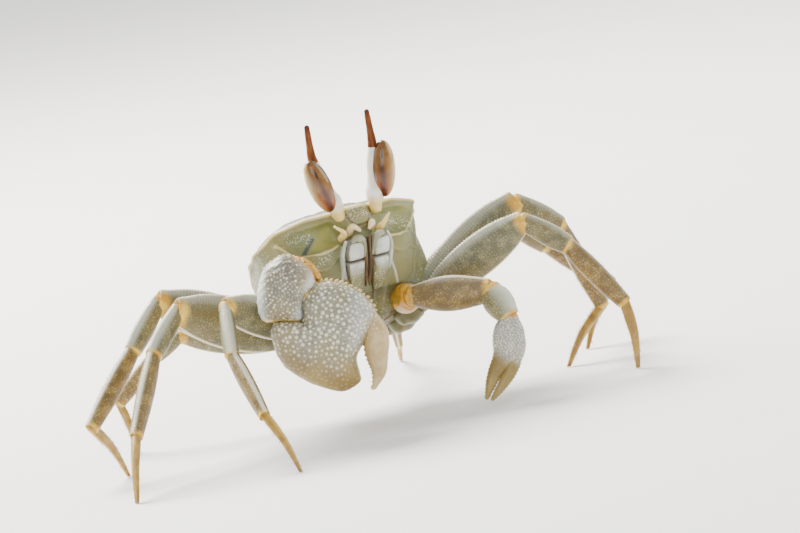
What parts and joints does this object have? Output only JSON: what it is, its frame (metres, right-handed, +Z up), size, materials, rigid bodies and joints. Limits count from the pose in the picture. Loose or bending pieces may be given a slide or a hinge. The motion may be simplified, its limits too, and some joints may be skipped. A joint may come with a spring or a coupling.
{
  "type": "ghost crab",
  "caption": "Life-size still model of a horned ghost crab standing alert, with raised stalked eyes that end in horns, one large claw and one small claw.",
  "frame": {"origin": "on the floor, under the middle of the whole crab", "axes": "+Z up; the crab faces -Y and its left is +X"},
  "size_m": [0.1484, 0.0894, 0.069],
  "materials": {
    "shell": "granular carapace, olive and grey-green with cream ridges",
    "sole": "smooth greenish plastron and abdomen",
    "mouth": "blue-grey and olive mouth plates",
    "claw": "white tubercles over a grey mesh, cream below",
    "fingertip": "smooth cream-white fingers",
    "leg": "granular, striated grey-green to golden",
    "toe": "translucent golden horn",
    "membrane": "soft amber skin between the plates",
    "stalk": "smooth translucent cream",
    "cornea": "glossy tan with dark stripes",
    "horn": "smooth reddish-brown horn",
    "bristle": "short golden hairs"
  },
  "bodies": {
    "root": {"carapace": "shell", "plastron": "sole", "abdomen": "sole", "maxilliped_right": "mouth", "maxilliped_left": "mouth", "cornea_right": "cornea", "eye_horn_right": "horn", "eyestalk_right": "stalk", "feeler_right": "stalk", "cornea_left": "cornea", "eye_horn_left": "horn", "eyestalk_left": "stalk", "feeler_left": "stalk", "leg_right_1_merus": "leg", "leg_right_1_carpus": "leg", "leg_right_1_propodus": "leg", "leg_right_1_dactyl": "toe", "leg_right_2_merus": "leg", "leg_right_2_carpus": "leg", "leg_right_2_propodus": "leg", "leg_right_2_dactyl": "toe", "leg_right_3_merus": "leg", "leg_right_3_carpus": "leg", "leg_right_3_propodus": "leg", "leg_right_3_dactyl": "toe", "leg_right_4_merus": "leg", "leg_right_4_carpus": "leg", "leg_right_4_propodus": "leg", "leg_right_4_dactyl": "toe", "leg_left_1_merus": "leg", "leg_left_1_carpus": "leg", "leg_left_1_propodus": "leg", "leg_left_1_dactyl": "toe", "leg_left_2_merus": "leg", "leg_left_2_carpus": "leg", "leg_left_2_propodus": "leg", "leg_left_2_dactyl": "toe", "leg_left_3_merus": "leg", "leg_left_3_carpus": "leg", "leg_left_3_propodus": "leg", "leg_left_3_dactyl": "toe", "leg_left_4_merus": "leg", "leg_left_4_carpus": "leg", "leg_left_4_propodus": "leg", "leg_left_4_dactyl": "toe", "claw_right_ischium": "claw", "claw_right_merus": "claw", "claw_right_carpus": "claw", "claw_right_palm": "claw", "claw_right_finger": "fingertip", "claw_left_ischium": "claw", "claw_left_merus": "claw", "claw_left_carpus": "claw", "claw_left_palm": "claw", "claw_left_finger": "fingertip"}
  },
  "joints": []
}
